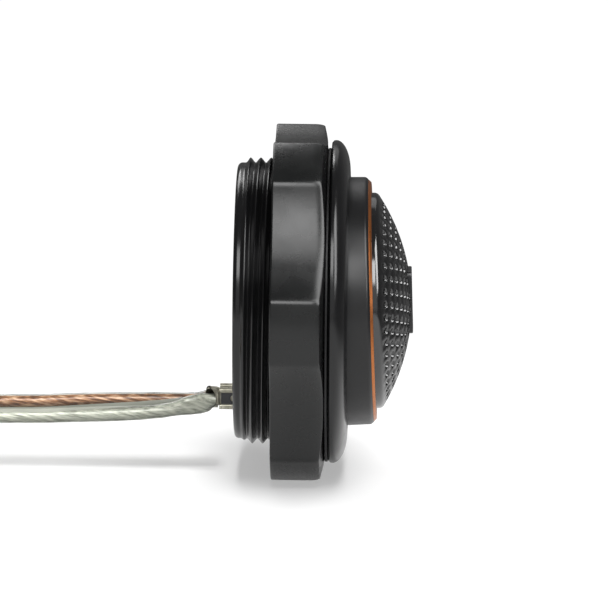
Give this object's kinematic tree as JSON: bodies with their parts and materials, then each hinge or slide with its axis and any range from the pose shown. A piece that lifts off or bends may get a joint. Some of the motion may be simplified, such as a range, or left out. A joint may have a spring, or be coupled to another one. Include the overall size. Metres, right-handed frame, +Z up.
{
  "type": "car tweeter",
  "caption": "Flush-mount car tweeter: threaded cup with flange and lobed lock nut, swivelling head with perforated dome grille and accent ring, twin lead on spade terminals.",
  "frame": {"origin": "on the axis of the threaded cup, in the plane where the flange sits on the panel", "axes": "+X along the cup's axis to the front, +Z up as it stands on two lobes of the nut"},
  "size_m": [0.1417, 0.0602, 0.0566],
  "materials": {
    "cup_plastic": "satin black moulded plastic",
    "inner_plastic": "matt black moulded plastic",
    "terminal_metal": "darkened plated blade",
    "tinned_metal": "tin plated, satin",
    "clear_sheath": "clear soft sheath over stranded wire",
    "tie_plastic": "black band",
    "copper": "bare copper",
    "washer_plastic": "matt black",
    "nut_plastic": "satin black moulded plastic",
    "motor_steel": "plated steel",
    "bezel_plastic": "satin black moulded plastic",
    "accent_plastic": "orange satin ring",
    "grille_paint": "gloss black paint",
    "badge_plastic": "plain black plate",
    "surround_rubber": "soft black roll",
    "magnet_plating": "nickel plated magnet",
    "felt": "dark felt",
    "dome_cloth": "coated black cloth",
    "former_foil": "thin foil"
  },
  "bodies": {
    "housing": {"mounting_cup": "cup_plastic", "ring_sleeve": "inner_plastic", "rear_plate": "inner_plastic", "terminal_tab_1": "terminal_metal", "terminal_tab_2": "terminal_metal", "receptacle_1": "tinned_metal", "receptacle_2": "tinned_metal", "lead_tail_1": "clear_sheath", "lead_tail_2": "clear_sheath", "lead": "clear_sheath", "lead_coil": "clear_sheath", "coil_tie": "tie_plastic", "bare_end_1": "tinned_metal", "bare_end_2": "copper"},
    "clamp": {"clamp_washer": "washer_plastic"},
    "nut": {"lock_nut": "nut_plastic"},
    "aim": {"aim_ring": "inner_plastic"},
    "head": {"pivot_pin_1": "motor_steel", "pivot_pin_2": "motor_steel", "head_shell": "inner_plastic", "bezel": "bezel_plastic", "accent_ring": "accent_plastic", "grille": "grille_paint", "badge": "badge_plastic", "diaphragm_frame": "inner_plastic", "surround": "surround_rubber", "yoke_cup": "motor_steel", "magnet": "magnet_plating", "pole_plate": "motor_steel", "damping_pad": "felt"},
    "diaphragm": {"dome": "dome_cloth", "coil_former": "former_foil", "voice_coil": "copper"}
  },
  "joints": [
    {"name": "clamp_travel", "type": "slide", "parent": "housing", "child": "clamp", "axis": [-1, 0, 0], "range_m": [0, 0.00602]},
    {"name": "nut_turn", "type": "hinge", "parent": "clamp", "child": "nut", "pos_m": [0, 0, 0], "axis": [-1, 0, 0], "range_deg": [0, 1260]},
    {"name": "aim_turn", "type": "hinge", "parent": "housing", "child": "aim", "pos_m": [0, 0, 0], "axis": [1, 0, 0], "range_deg": [-170, 170]},
    {"name": "head_tilt", "type": "hinge", "parent": "aim", "child": "head", "pos_m": [0, 0, 0], "axis": [0, -1, 0], "range_deg": [-10, 5.9]},
    {"name": "dome_travel", "type": "slide", "parent": "head", "child": "diaphragm", "axis": [0.9994, 0, 0.0358], "range_m": [-0.00025, 0.00025], "stiffness_N_per_m": 600}
  ],
  "couplings": [
    {"joint": "clamp_travel", "follows": "nut_turn", "m_per_rad": 0.00027375}
  ]
}
